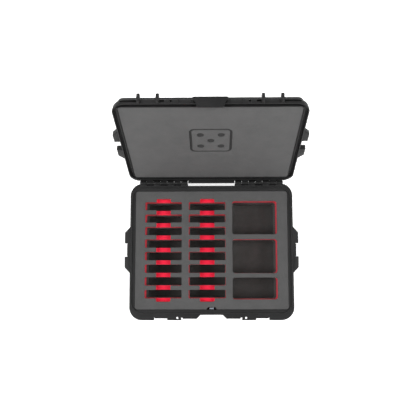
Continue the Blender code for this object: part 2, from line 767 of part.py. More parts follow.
def build_gasket(pivot):
    """Seal at the top of the lid's groove, where the base's ridge presses on it."""
    top = PARTING_Z + GROOVE_DEPTH - GAP
    seal = ring(GROOVE_OFFSET + GAP, GROOVE_WIDTH - 2 * GAP, PARTING_Z + RIDGE_HEIGHT + SLIP, top)
    finish(in_pivot_frame(seal, HINGE), "lid_gasket", "rubber", pivot)


def build_hinge_pins():
    middle = (HINGE_INNER_X + HINGE_OUTER_X) / 2
    length = HINGE_OUTER_X - HINGE_INNER_X
    for name, side in (("left", -1), ("right", 1)):
        pin = rod((side * middle, HINGE_Y, HINGE_Z), "X", HINGE_PIN_RADIUS, length, 16)
        finish(pin, "hinge_pin_" + name, "steel")


# ---------------------------------------------------------------- latches

def latch_lever_solid():
    """Lever drawn shut, with its pin along X at the origin and the outside of the case at -Y."""
    half = LATCH_HALF
    profile = [(-0.0085, -0.0020), (-0.0085, 0.0425), (-0.0070, 0.0450), (0.0105, 0.0450),
               (0.0105, 0.0392), (-0.0020, 0.0392), (-0.0020, 0.0030), (-0.0010, -0.0020)]
    lever = outline(profile, -half, half, along="X")
    add(lever, rod((0, 0, 0), "X", 0.0055, 2 * half - 0.0004, 20))
    cut(lever, rod((0, 0, 0), "X", LATCH_PIN_RADIUS + GAP, 0.06, 16))
    cut(lever, block((-0.0125, -0.012, 0.0105), (0.0125, 0.002, 0.0365)))
    cut(lever, rod(TRIGGER_PIN, "X", TRIGGER_PIN_RADIUS + GAP, 0.034, 12))
    return lever


def latch_trigger_solid():
    """Push button that rocks on its own pin in the lever's window."""
    profile = [(-0.0078, 0.0115), (-0.0088, 0.0200), (-0.0088, 0.0330), (-0.0078, 0.0355),
               (-0.0045, 0.0355), (-0.0045, 0.0170), (-0.0032, 0.0150), (-0.0032, 0.0122),
               (-0.0045, 0.0112)]
    trigger = outline(profile, -0.0120, 0.0120, along="X")
    cut(trigger, rod(TRIGGER_PIN, "X", TRIGGER_PIN_RADIUS + GAP, 0.034, 12))
    return trigger


def build_latch(name, place):
    """A lever and its button, each on a pin, hanging open at one place on the case."""
    hang = Matrix.Rotation(LATCH_HANG, 4, "X")
    pin_place = place @ Matrix.Translation((0, -LATCH_PIN_OUT, LATCH_PIN_Z)) @ hang
    lever_pivot = make_pivot("latch_pivot_" + name, pin_place)
    trigger_pivot = make_pivot("trigger_pivot_" + name, pin_place @ Matrix.Translation(TRIGGER_PIN))
    finish(latch_lever_solid(), "latch_lever_" + name, "latch_plastic", lever_pivot)
    trigger = in_pivot_frame(latch_trigger_solid(), TRIGGER_PIN)
    finish(trigger, "latch_trigger_" + name, "latch_plastic", trigger_pivot)
    pin = rod((0, 0, 0), "X", LATCH_PIN_RADIUS, 0.050, 16)
    finish(pin, "latch_pin_" + name, "steel", lever_pivot)
    small = rod((0, 0, 0), "X", TRIGGER_PIN_RADIUS, 0.033, 12)
    finish(small, "trigger_pin_" + name, "steel", trigger_pivot)


# ---------------------------------------------------------------- handle and valve

def build_handle():
    """Bent bail with an eye at each end, folded down under the shelf, and its rubber grip."""
    pivot = make_pivot("handle_pivot", Matrix.Translation((0, HANDLE_Y, HANDLE_Z)))
    curve = bpy.data.curves.new("handle", "CURVE")
    curve.dimensions = "3D"
    curve.bevel_depth = HANDLE_ROD
    curve.bevel_resolution = 2
    curve.use_fill_caps = True
    bend = 0.016
    right = [(HANDLE_HALF_X, 0.0)]
    right += arc_points((HANDLE_HALF_X - bend, bend - HANDLE_DROP), bend, 0, -90, 5)
    path = [(-x, z) for x, z in right] + list(reversed(right))
    spline = curve.splines.new("POLY")
    spline.points.add(len(path) - 1)
    for point, (x, z) in zip(spline.points, path):
        point.co = (x, 0.0, z, 1.0)
    drawn = bpy.data.objects.new("handle", curve)
    tools.objects.link(drawn)
    bail = mesh_from_curve(drawn)
    for side in (-1, 1):
        add(bail, rod((side * HANDLE_HALF_X, 0, 0), "X", 0.0075, 0.0112, 20))
    for side in (-1, 1):
        cut(bail, rod((side * HANDLE_HALF_X, 0, 0), "X", HANDLE_PIN_RADIUS + GAP, 0.03, 16))
    finish(bail, "carry_handle", "latch_plastic", pivot)

    grip = rod((0, 0, -HANDLE_DROP), "X", GRIP_RADIUS, 2 * GRIP_HALF_X, 24)
    cut(grip, rod((0, 0, -HANDLE_DROP), "X", HANDLE_ROD + GAP, 0.12, 20))
    finish(grip, "handle_grip", "rubber", pivot)
    for name, side in (("left", -1), ("right", 1)):
        pin = rod((side * (HANDLE_HALF_X + 0.0015), HANDLE_Y, HANDLE_Z), "X", HANDLE_PIN_RADIUS, 0.0210, 16)
        finish(pin, "handle_pin_" + name, "steel")


def build_valve():
    """Pressure valve through the front wall: threaded body, inside nut and outside knob."""
    wall_in = -FOAM_HALF_Y - 0.0002
    wall_out = -0.1908
    body = rod((0, (wall_in + wall_out) / 2 + 0.0005, VALVE_Z), "Y", 0.0050, 0.0130, 20)
    add(body, rod((0, wall_out - 0.0012, VALVE_Z), "Y", 0.0085, 0.0022, 24))
    finish(body, "valve_body", "valve_grey")
    nut = rod((0, wall_in + 0.0028, VALVE_Z), "Y", 0.0085, 0.0042, 6)
    cut(nut, rod((0, wall_in + 0.0028, VALVE_Z), "Y", 0.0050 + GAP, 0.02, 20))
    finish(nut, "valve_nut", "valve_grey")
    knob = rod((0, 0, 0), "Y", 0.0080, 0.0050, 12)
    cut(knob, rod((0, 0.0020, 0), "Y", 0.0052, 0.0040, 20))
    pivot = make_pivot("valve_pivot", Matrix.Translation((0, wall_out - 0.0055, VALVE_Z)))
    finish(knob, "valve_knob", "valve_grey", pivot)


clear_scene()
tools = make_collection("guides")
parts = make_collection("miniature_carry_case")
make_materials()
build_base_shell()
build_base_foam()
lid_pivot = make_pivot("lid_hinge_axis", Matrix.Translation(HINGE) @ Matrix.Rotation(-LID_OPEN, 4, "X"))
build_lid_shell(lid_pivot)
build_gasket(lid_pivot)
build_lid_foam(lid_pivot)
build_hinge_pins()
for latch_name, latch_place in LATCH_PLACES.items():
    build_latch(latch_name, latch_place)
build_handle()
build_valve()
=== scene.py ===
"""Looks for the miniature carry case: fine shells, layered foam, latches, handle and materials.

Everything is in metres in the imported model's frame: +Z up, front at -Y, lid hinged at +Y.
Lid pieces are drawn closed and then turned open about the lid hinge's axis.
"""
import json
import math

import bmesh
import bpy
from mathutils import Euler, Matrix, Vector


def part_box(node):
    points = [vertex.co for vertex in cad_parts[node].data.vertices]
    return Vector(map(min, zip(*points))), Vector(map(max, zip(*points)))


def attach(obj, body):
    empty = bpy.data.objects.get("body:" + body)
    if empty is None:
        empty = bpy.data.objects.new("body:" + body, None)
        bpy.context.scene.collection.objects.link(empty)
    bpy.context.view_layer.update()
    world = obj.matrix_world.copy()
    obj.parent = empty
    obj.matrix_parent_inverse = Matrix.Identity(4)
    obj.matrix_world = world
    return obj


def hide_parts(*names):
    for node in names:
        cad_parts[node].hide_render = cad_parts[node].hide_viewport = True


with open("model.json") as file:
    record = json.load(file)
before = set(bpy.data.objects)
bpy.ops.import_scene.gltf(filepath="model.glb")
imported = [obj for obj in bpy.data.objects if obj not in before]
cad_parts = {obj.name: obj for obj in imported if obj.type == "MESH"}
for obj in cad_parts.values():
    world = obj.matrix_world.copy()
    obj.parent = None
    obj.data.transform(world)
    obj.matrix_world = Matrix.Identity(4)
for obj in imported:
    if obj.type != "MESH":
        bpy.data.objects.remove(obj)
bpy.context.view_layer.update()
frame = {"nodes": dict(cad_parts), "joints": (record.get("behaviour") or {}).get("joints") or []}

# ---------------------------------------------------------------- sizes from the frame

JOINTS = {joint["name"]: joint for joint in frame["joints"]}
HINGE = Vector(JOINTS["lid_hinge"]["pos_m"])
LID_OPEN = math.radians(JOINTS["lid_hinge"]["range_deg"][1])

RED_NODES = tuple(name for name in frame["nodes"] if name.startswith("foam_red_"))
BLACK_NODES = tuple(name for name in frame["nodes"]
                    if name.startswith(("foam_black_", "foam_floor_")))
foam_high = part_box("foam_top_layer")[1]
HALF_X = foam_high.x
HALF_Y = foam_high.y
FOAM_TOP = foam_high.z
FOAM_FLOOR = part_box("foam_floor_pad")[0].z
RED_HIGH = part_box("foam_red_right")[1].z
RED_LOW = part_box("foam_red_right")[0].z
BLACK_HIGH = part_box("foam_black_right")[1].z

# The shells: RIM is the rim's reach beyond the foam and SHELF the extra reach at the front.
# BASE_REAR and LID_REAR are the extra reach at the rear. The lid's fins and guards run LID_ROOT
# into its rim, and those at the rear start at REAR_ROOT.
PARTING = FOAM_TOP + 0.002
RIM = 0.017
RIM_CORNER = 0.040
RIM_LOW = PARTING - 0.018
UNDER_RIM_Z = 0.1460
SHELF = 0.016
FRONT_EDGE = HALF_Y + RIM
REAR_EDGE = HALF_Y + RIM
SIDE_EDGE = HALF_X + RIM
DRAFT = math.tan(math.radians(1.0))
LID_TOP = 0.186
LID_CEILING = 0.181
BASE_REAR = 0.2110 - HALF_Y - RIM
LID_REAR = 0.2100 - HALF_Y - RIM
LID_ROOT = 0.0026
REAR_ROOT = REAR_EDGE - LID_ROOT
SIDE_GUARD_HALF = 0.0725
SIDE_GUARD_FLAT_HALF = 0.0545

REAR_GAP_HALF = 0.0745
HINGE_INNER_X = 0.075
HINGE_OUTER_X = 0.228
KNUCKLES = 7
KNUCKLE_RADIUS = 0.0070
KNUCKLE_GAP = 0.0005
HINGE_LEDGE_Z = 0.1385
HINGE_GUARD_Z = 0.1542
FOAM_CORNER = 0.010

POCKET_FLOOR = FOAM_TOP - 0.120
CHANNEL_FLOOR = FOAM_TOP - 0.025
SLOT_ROWS = 8
SLOT_PITCH = 0.0396
SLOT_FIRST_Y = 0.1390
SLOT_LENGTH = 0.116
SLOT_WIDTH = 0.026
SLOT_CORNER = 0.004
SLOT_COLUMNS = (-0.1520, -0.0137)
CHANNEL_WIDTH = 0.046
CHANNEL_HALF_Y = 0.162
CHANNEL_CORNER = 0.007
CHANNEL_EDGE_CORNER = 0.0015
COMPARTMENT_X = (0.066, 0.207)
COMPARTMENTS_Y = ((0.0483, 0.1545), (-0.0735, 0.0332), (-0.1548, -0.0872))
COMPARTMENT_CORNER = 0.008

EMBLEM_Y = -0.025
EMBLEM_HALF = 0.060
EMBLEM_BAND = 0.007
EMBLEM_CORNER = 0.016
PIP_REACH = 0.029
PIP_RADIUS = 0.0100
ENGRAVING_DEPTH = 0.0022

LATCH_X = 0.159
LATCH_PIN_OUT = 0.0065
LATCH_PIN_Z = 0.132
LATCH_SLOT_HALF = 0.021
LATCH_EAR_X = (0.0213, 0.0262)
LATCH_BORE = 0.0023
TRIGGER_PIN = (0, -0.0055, 0.0140)
TRIGGER_BORE = 0.0015
FIN_X = 0.0245
FIN_HALF = 0.0040
LATCH_PLACES = {
    "front_left": Matrix.Translation((-LATCH_X, -FRONT_EDGE, 0)),
    "front_right": Matrix.Translation((LATCH_X, -FRONT_EDGE, 0)),
    "left": Matrix.Translation((-SIDE_EDGE, 0, 0)) @ Matrix.Rotation(-math.pi / 2, 4, "Z"),
    "right": Matrix.Translation((SIDE_EDGE, 0, 0)) @ Matrix.Rotation(math.pi / 2, 4, "Z"),
}
LATCH_HANG = Matrix.Rotation(math.radians(190), 4, "X")

PADLOCK_X = 0.107
PADLOCK_RADIUS = 0.0035
HANDLE_HALF_X = 0.062
HANDLE_EAR_X = (0.0690, 0.0745)
VALVE_Z = JOINTS["valve_turn"]["pos_m"][2]
VALVE_BORE = 0.0053

OPEN_LID = (Matrix.Translation(HINGE) @ Matrix.Rotation(-LID_OPEN, 4, "X")
            @ Matrix.Translation(-HINGE))


# ---------------------------------------------------------------- materials

def new_material(name):
    material = bpy.data.materials.new(name)
    material.use_nodes = True
    tree = material.node_tree
    return material, tree.nodes, tree.links, tree.nodes["Principled BSDF"]


def ramp(nodes, stops):
    node = nodes.new("ShaderNodeValToRGB")
    elements = node.color_ramp.elements
    while len(elements) < len(stops):
        elements.new(0.5)
    for element, (position, colour) in zip(elements, stops):
        element.position = position
        element.color = (*colour, 1.0)
    return node


def noise(nodes, links, coords, scale, detail=4.0, rough=0.5):
    node = nodes.new("ShaderNodeTexNoise")
    node.inputs["Scale"].default_value = scale
    node.inputs["Detail"].default_value = detail
    node.inputs["Roughness"].default_value = rough
    links.new(coords, node.inputs["Vector"])
    return node


def bump(nodes, links, height, strength, distance, below=None):
    node = nodes.new("ShaderNodeBump")
    node.inputs["Strength"].default_value = strength
    node.inputs["Distance"].default_value = distance
    links.new(height, node.inputs["Height"])
    if below:
        links.new(below.outputs["Normal"], node.inputs["Normal"])
    return node


def grey(value):
    return (value, value, value * 1.015)


def moulded_plastic(name, dark, light, roughness, grain=1400.0, highlight_grey=0.07):
    """Satin moulded plastic: fine spark-eroded grain, faint handling marks, and a painted highlight
    that makes its rounded edges paler.
    """
    material, nodes, links, shader = new_material(name)
    coords = nodes.new("ShaderNodeTexCoord").outputs["Object"]
    broad = noise(nodes, links, coords, 9.0, 5.0, 0.6)
    shade = ramp(nodes, [(0.30, dark), (0.72, light)])
    links.new(broad.outputs["Fac"], shade.inputs["Fac"])

    # Paler edges: a painted highlight wherever the rounded normal turns from the true one, on convex
    # and concave edges alike, broken up by noise.
    geometry = nodes.new("ShaderNodeNewGeometry")
    rounded = nodes.new("ShaderNodeBevel")
    rounded.samples = 4
    rounded.inputs["Radius"].default_value = 0.0012
    facing = nodes.new("ShaderNodeVectorMath")
    facing.operation = "DOT_PRODUCT"
    links.new(geometry.outputs["Normal"], facing.inputs[0])
    links.new(rounded.outputs["Normal"], facing.inputs[1])
    edge = nodes.new("ShaderNodeMapRange")
    edge.inputs["From Min"].default_value = 0.99
    edge.inputs["From Max"].default_value = 0.86
    links.new(facing.outputs["Value"], edge.inputs["Value"])
    highlight_breakup = noise(nodes, links, coords, 160.0, 3.0, 0.7)
    highlight_mask = nodes.new("ShaderNodeMath")
    highlight_mask.operation = "MULTIPLY"
    links.new(edge.outputs["Result"], highlight_mask.inputs[0])
    links.new(highlight_breakup.outputs["Fac"], highlight_mask.inputs[1])
    highlight_mix = nodes.new("ShaderNodeMix")
    highlight_mix.data_type = "RGBA"
    links.new(highlight_mask.outputs["Value"], highlight_mix.inputs["Factor"])
    links.new(shade.outputs["Color"], highlight_mix.inputs["A"])
    highlight_mix.inputs["B"].default_value = (highlight_grey, highlight_grey, highlight_grey, 1.0)
    links.new(highlight_mix.outputs["Result"], shader.inputs["Base Color"])

    marks = noise(nodes, links, coords, 42.0, 6.0, 0.65)
    gloss = nodes.new("ShaderNodeMapRange")
    gloss.inputs["To Min"].default_value = roughness - 0.07
    gloss.inputs["To Max"].default_value = roughness + 0.10
    links.new(marks.outputs["Fac"], gloss.inputs["Value"])
    links.new(gloss.outputs["Result"], shader.inputs["Roughness"])

    texture = noise(nodes, links, coords, grain, 2.0, 0.5)
    fine = bump(nodes, links, texture.outputs["Fac"], 0.22, 0.0003)
    links.new(fine.outputs["Normal"], shader.inputs["Normal"])
    shader.inputs["Specular IOR Level"].default_value = 0.18
    return material


def foam_material(name, dark, light, cell=900.0, depth=0.35):
    """Closed-cell foam: small open pores on the cut skin, faint mottling, a soft dusty sheen."""
    material, nodes, links, shader = new_material(name)
    coords = nodes.new("ShaderNodeTexCoord").outputs["Object"]
    mottle = noise(nodes, links, coords, 22.0, 6.0, 0.6)
    cells = nodes.new("ShaderNodeTexVoronoi")
    cells.feature = "F1"
    cells.inputs["Scale"].default_value = cell
    links.new(coords, cells.inputs["Vector"])
    pores = nodes.new("ShaderNodeMapRange")
    pores.inputs["From Min"].default_value = 0.15
    pores.inputs["From Max"].default_value = 0.75
    links.new(cells.outputs["Distance"], pores.inputs["Value"])
    blend = nodes.new("ShaderNodeMath")
    blend.operation = "MULTIPLY_ADD"
    blend.inputs[1].default_value = 0.30
    links.new(pores.outputs["Result"], blend.inputs[0])
    scaled = nodes.new("ShaderNodeMath")
    scaled.operation = "MULTIPLY"
    scaled.inputs[1].default_value = 0.70
    links.new(mottle.outputs["Fac"], scaled.inputs[0])
    links.new(scaled.outputs["Value"], blend.inputs[2])
    shade = ramp(nodes, [(0.28, dark), (0.72, light)])
    links.new(blend.outputs["Value"], shade.inputs["Fac"])
    links.new(shade.outputs["Color"], shader.inputs["Base Color"])
    grain = noise(nodes, links, coords, cell * 0.35, 4.0, 0.6)
    coarse = bump(nodes, links, grain.outputs["Fac"], depth * 0.6, 0.0006)
    fine = bump(nodes, links, pores.outputs["Result"], depth, 0.0004, below=coarse)
    links.new(fine.outputs["Normal"], shader.inputs["Normal"])
    shader.inputs["Roughness"].default_value = 0.93
    shader.inputs["Specular IOR Level"].default_value = 0.22
    shader.inputs["Sheen Weight"].default_value = 0.10
    shader.inputs["Sheen Roughness"].default_value = 0.6
    return material


def steel_material(name):
    """Turned steel: fine rings of roughness and a little tarnish."""
    material, nodes, links, shader = new_material(name)
    coords = nodes.new("ShaderNodeTexCoord").outputs["Object"]
    tarnish = noise(nodes, links, coords, 60.0, 5.0, 0.6)
    shade = ramp(nodes, [(0.3, (0.36, 0.36, 0.37)), (0.7, (0.60, 0.60, 0.61))])
    links.new(tarnish.outputs["Fac"], shade.inputs["Fac"])
    links.new(shade.outputs["Color"], shader.inputs["Base Color"])
    rings = noise(nodes, links, coords, 900.0, 2.0, 0.5)
    gloss = nodes.new("ShaderNodeMapRange")
    gloss.inputs["To Min"].default_value = 0.22
    gloss.inputs["To Max"].default_value = 0.45
    links.new(rings.outputs["Fac"], gloss.inputs["Value"])
    links.new(gloss.outputs["Result"], shader.inputs["Roughness"])
    shader.inputs["Metallic"].default_value = 1.0
    return material


SHELL = moulded_plastic("moulded_black", grey(0.0105), grey(0.0165), 0.44)
LATCH = moulded_plastic("latch_black", grey(0.0090), grey(0.0150), 0.42, grain=1900.0, highlight_grey=0.06)
VALVE = moulded_plastic("valve_grey", (0.30, 0.34, 0.40), (0.40, 0.44, 0.50), 0.42,
                        grain=1500.0, highlight_grey=0.6)
RUBBER = moulded_plastic("grip_rubber", grey(0.012), grey(0.020), 0.68, grain=1100.0, highlight_grey=0.035)
GREY_FOAM = foam_material("grey_foam", (0.072, 0.072, 0.072), (0.094, 0.093, 0.093))
RED_FOAM = foam_material("red_foam", (0.74, 0.0130, 0.043), (0.88, 0.0190, 0.060))
BLACK_FOAM = foam_material("black_foam", (0.050, 0.050, 0.0485), (0.082, 0.081, 0.078), depth=0.45)
ENGRAVED_FOAM = foam_material("engraved_foam", (0.012, 0.012, 0.012), (0.022, 0.022, 0.022))
STEEL = steel_material("pin_steel")


# ---------------------------------------------------------------- mesh helpers

MERGE_DISTANCE = 0.00001

workshop = bpy.data.collections.new("case_pieces")
bpy.context.scene.collection.children.link(workshop)


def object_from(shape, name="tool"):
    mesh = bpy.data.meshes.new(name)
    shape.to_mesh(mesh)
    shape.free()
    item = bpy.data.objects.new(name, mesh)
    workshop.objects.link(item)
    return item


def remove(item):
    bpy.data.objects.remove(item, do_unlink=True)


def evaluated_mesh(item):
    bpy.context.view_layer.update()
    graph = bpy.context.evaluated_depsgraph_get()
    return bpy.data.meshes.new_from_object(item.evaluated_get(graph))


def solid_from(curve, place):
    """A filled or bevelled curve as a closed mesh, moved by a matrix."""
    drawn = bpy.data.objects.new("curve", curve)
    workshop.objects.link(drawn)
    mesh = evaluated_mesh(drawn)
    shape = bmesh.new()
    shape.from_mesh(mesh)
    bpy.data.meshes.remove(mesh)
    remove(drawn)
    bmesh.ops.remove_doubles(shape, verts=shape.verts, dist=MERGE_DISTANCE)
    bmesh.ops.recalc_face_normals(shape, faces=shape.faces)
    shape.transform(place)
    return object_from(shape)


def block(low, high):
    low = Vector(low)
    high = Vector(high)
    shape = bmesh.new()
    place = Matrix.Translation((low + high) / 2) @ Matrix.Diagonal((*(high - low), 1.0))
    bmesh.ops.create_cube(shape, size=1.0, matrix=place)
    return object_from(shape)


def rod(centre, axis, radius, length, sides=40):
    turns = {"X": Matrix.Rotation(math.pi / 2, 4, "Y"), "Y": Matrix.Rotation(math.pi / 2, 4, "X"),
             "Z": Matrix.Identity(4)}
    shape = bmesh.new()
    bmesh.ops.create_cone(shape, cap_ends=True, segments=sides, radius1=radius, radius2=radius,
                          depth=length, matrix=Matrix.Translation(centre) @ turns[axis])
    return object_from(shape)


def arc(centre, radius, start, end, steps):
    """Points on an arc, angles in degrees."""
    points = []
    for step in range(steps + 1):
        angle = math.radians(start + (end - start) * step / steps)
        points.append((centre[0] + radius * math.cos(angle), centre[1] + radius * math.sin(angle)))
    return points


def rounded_rect(x_low, x_high, y_low, y_high, corner, steps=8):
    points = arc((x_high - corner, y_high - corner), corner, 0, 90, steps)
    points += arc((x_low + corner, y_high - corner), corner, 90, 180, steps)
    points += arc((x_low + corner, y_low + corner), corner, 180, 270, steps)
    points += arc((x_high - corner, y_low + corner), corner, 270, 360, steps)
    return points


def round_corners(corners, steps=4):
    """An outline from (x, y, radius) corners, each rounded with an arc."""
    points = []
    count = len(corners)
    for index, (x, y, radius) in enumerate(corners):
        here = Vector((x, y))
        before = Vector(corners[index - 1][:2]) - here
        after = Vector(corners[(index + 1) % count][:2]) - here
        if radius <= 0:
            points.append((x, y))
            continue
        angle = before.angle(after)
        reach = min(radius / math.tan(angle / 2), 0.49 * before.length, 0.49 * after.length)
        start = here + before.normalized() * reach
        end = here + after.normalized() * reach
        for step in range(steps + 1):
            t = step / steps
            point = start * (1 - t) ** 2 + here * 2 * t * (1 - t) + end * t ** 2
            points.append((point.x, point.y))
    return points


def plate(outlines, low, high, edge=0.0, edge_steps=2, along="Z"):
    """A flat piece from one outline and any holes, with its edges rounded by the curve's bevel.
    Points are (x, y) along Z, (y, z) along X and (x, z) along Y."""
    curve = bpy.data.curves.new("plate", "CURVE")
    curve.dimensions = "2D"
    curve.fill_mode = "BOTH"
    curve.extrude = (high - low) / 2 - edge
    curve.bevel_depth = edge
    curve.bevel_resolution = edge_steps
    curve.offset = -edge
    for outline in outlines:
        spline = curve.splines.new("POLY")
        spline.points.add(len(outline) - 1)
        for point, (first, second) in zip(spline.points, outline):
            point.co = (first, second, 0.0, 1.0)
        spline.use_cyclic_u = True
    middle = (low + high) / 2
    frames = {"Z": Matrix.Translation((0, 0, middle)),
              "X": Matrix(((0, 0, 1, middle), (1, 0, 0, 0), (0, 1, 0, 0), (0, 0, 0, 1))),
              "Y": Matrix(((1, 0, 0, 0), (0, 0, -1, middle), (0, 1, 0, 0), (0, 0, 0, 1)))}
    return solid_from(curve, frames[along])


def section_loops(shape, sections, steps):
    """Rounded rectangles round the foam. A section is (offset from the foam's edge, height,
    corner radius, extra depth at the front, extra depth at the rear)."""
    loops = []
    for offset, height, corner, front, rear in sections:
        points = rounded_rect(-HALF_X - offset, HALF_X + offset, -HALF_Y - offset - front,
                              HALF_Y + offset + rear, corner, steps)
        loops.append([shape.verts.new((x, y, height)) for x, y in points])
    return loops


def bridge(shape, loops):
    for lower, upper in zip(loops, loops[1:]):
        count = len(lower)
        for index in range(count):
            following = (index + 1) % count
            shape.faces.new((lower[index], lower[following], upper[following], upper[index]))


def sweep(sections, steps=12):
    """Closed shell lofted through its sections, capped at both ends."""
    shape = bmesh.new()
    loops = section_loops(shape, sections, steps)
    bridge(shape, loops)
    shape.faces.new(list(reversed(loops[0])))
    shape.faces.new(loops[-1])
    bmesh.ops.recalc_face_normals(shape, faces=shape.faces)
    return object_from(shape)


def band(sections, steps=12):
    """Like sweep, but the last section meets the first, so the result is a ring."""
    shape = bmesh.new()
    loops = section_loops(shape, sections, steps)
    bridge(shape, loops + loops[:1])
    bmesh.ops.recalc_face_normals(shape, faces=shape.faces)
    return object_from(shape)


def merged(items):
    shape = bmesh.new()
    for item in items:
        shape.from_mesh(item.data)
        remove(item)
    return object_from(shape)


def combine(target, tool, operation):
    modifier = target.modifiers.new("combine", "BOOLEAN")
    modifier.operation = operation
    modifier.object = tool
    mesh = evaluated_mesh(target)
    target.modifiers.clear()
    target.data = mesh
    remove(tool)


def add(target, *tools):
    for tool in tools:
        combine(target, tool, "UNION")
    return target


def cut(target, *tools):
    for tool in tools:
        combine(target, tool, "DIFFERENCE")
    return target


def soften(item, width, segments=3, angle=35):
    """Round the sharp edges of a simple solid."""
    shape = bmesh.new()
    shape.from_mesh(item.data)
    bmesh.ops.remove_doubles(shape, verts=shape.verts, dist=0.00002)
    bmesh.ops.dissolve_limit(shape, angle_limit=math.radians(1), verts=shape.verts,
                             edges=shape.edges)
    shape.to_mesh(item.data)
    shape.free()
    modifier = item.modifiers.new("soften", "BEVEL")
    modifier.width = width
    modifier.segments = segments
    modifier.limit_method = "ANGLE"
    modifier.angle_limit = math.radians(angle)
    modifier.use_clamp_overlap = True
    mesh = evaluated_mesh(item)
    item.modifiers.clear()
    item.data = mesh
    return item


def finish(item, name, body, material, replaces=(), place=None, sharp=32):
    """Name a piece, shade it, put it in place, tie it to its body, and hide the CAD nodes it
    replaces.
    """
    item.name = name
    item.data.name = name
    if place is not None:
        item.data.transform(place)
    item.data.materials.clear()
    item.data.materials.append(material)
    item.data.shade_smooth()
    item.data.set_sharp_from_angle(angle=math.radians(sharp))
    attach(item, body)
    if replaces:
        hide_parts(*replaces)


# ---------------------------------------------------------------- foam

def slot_rows():
    for row in range(SLOT_ROWS):
        centre = SLOT_FIRST_Y - SLOT_PITCH * row
        yield centre - SLOT_WIDTH / 2, centre + SLOT_WIDTH / 2


def foam_outline(inset=0.0, notch=0.0155):
    """Outer edge of a foam layer, relieved at the front where the valve comes through."""
    x = HALF_X - inset
    y = HALF_Y - inset
    corners = [(x, y, FOAM_CORNER), (-x, y, FOAM_CORNER), (-x, -y, FOAM_CORNER)]
    if notch:
        back = -HALF_Y - 0.0085 + notch
        corners += [(-notch, -y, 0.002), (0.003 - notch, back, 0.003), (notch - 0.003, back, 0.003),
                    (notch, -y, 0.002)]
    corners.append((x, -y, FOAM_CORNER))
    return round_corners(corners, 6)


def slot_outlines():
    half = SLOT_LENGTH / 2
    return [rounded_rect(centre - half, centre + half, low, high, SLOT_CORNER, 5)
            for centre in SLOT_COLUMNS for low, high in slot_rows()]


def comb_outlines():
    """Slots joined by the finger channel that runs through each column."""
    found = []
    for centre in SLOT_COLUMNS:
        near = centre + CHANNEL_WIDTH / 2
        far = centre + SLOT_LENGTH / 2
        half = [(near, CHANNEL_HALF_Y, CHANNEL_CORNER)]
        for low, high in slot_rows():
            half += [(near, high, CHANNEL_EDGE_CORNER), (far, high, SLOT_CORNER),
                     (far, low, SLOT_CORNER), (near, low, CHANNEL_EDGE_CORNER)]
        half.append((near, -CHANNEL_HALF_Y, CHANNEL_CORNER))
        mirrored = [(2 * centre - x, y, radius) for x, y, radius in reversed(half)]
        found.append(round_corners(half + mirrored, 4))
    return found


def compartment_outlines():
    return [rounded_rect(*COMPARTMENT_X, low, high, COMPARTMENT_CORNER, 6)
            for low, high in COMPARTMENTS_Y]


def build_base_foam():
    """The insert: grey skin, red core with the finger channels, black core with the pockets.
    Each layer stands a little inside the one above, and the skin a hair above the red."""
    thin = 0.0002
    comb = comb_outlines() + compartment_outlines()
    deep = slot_outlines() + compartment_outlines()
    skin = plate([foam_outline()] + comb, RED_HIGH + thin, FOAM_TOP, edge=0.0007)
    finish(skin, "foam_grey_skin", "base", GREY_FOAM, ("foam_top_layer",))
    upper = plate([foam_outline(0.0004, notch=0.0175)] + comb, CHANNEL_FLOOR, RED_HIGH, edge=0.0004)
    lower = plate([foam_outline(0.0008, notch=0.0175)] + deep, RED_LOW, CHANNEL_FLOOR, edge=0.0006)
    finish(merged([upper, lower]), "foam_red_core", "base", RED_FOAM, RED_NODES)
    walls = plate([foam_outline(0.0025, notch=0.0)] + deep, POCKET_FLOOR, BLACK_HIGH, edge=0.0004)
    floor = plate([foam_outline(0.0028, notch=0.0)], FOAM_FLOOR, POCKET_FLOOR, edge=0.0004)
    finish(merged([walls, floor]), "foam_black_core", "base", BLACK_FOAM, BLACK_NODES)


def build_lid_foam():
    """Foam sheet for the lid with a five-pip die face cut into it, and its darker cut floor."""
    face = FOAM_TOP + 0.004
    back_face = face + 0.003

    def square(half, corner, steps):
        return rounded_rect(-half, half, EMBLEM_Y - half, EMBLEM_Y + half, corner, steps)

    holes = [square(EMBLEM_HALF, EMBLEM_CORNER, 8),
             square(EMBLEM_HALF - EMBLEM_BAND, EMBLEM_CORNER - 0.006, 8),
             arc((0, EMBLEM_Y), PIP_RADIUS, 0, 348, 29)]
    for x, y in ((1, 1), (-1, 1), (1, -1), (-1, -1)):
        holes.append(arc((PIP_REACH * x, EMBLEM_Y + PIP_REACH * y), PIP_RADIUS, 0, 348, 29))
    sheet = plate([foam_outline(0.0, notch=0.0)] + holes, face, back_face, edge=0.0005)
    back = plate([foam_outline(0.0015, notch=0.0)], back_face, LID_CEILING - 0.0008)
    finish(merged([sheet, back]), "foam_lid_sheet", "lid", GREY_FOAM,
           ("lid_foam",), OPEN_LID)
    burnt = plate([square(EMBLEM_HALF + 0.004, EMBLEM_CORNER, 6)],
                  face + ENGRAVING_DEPTH, face + ENGRAVING_DEPTH + 0.0012)
    finish(burnt, "foam_lid_engraving", "lid", ENGRAVED_FOAM, (), OPEN_LID)


# ---------------------------------------------------------------- shells

def concentric(offset):
    """Corner radius that keeps a section parallel to the rim's outer corner."""
    return RIM_CORNER - RIM + offset


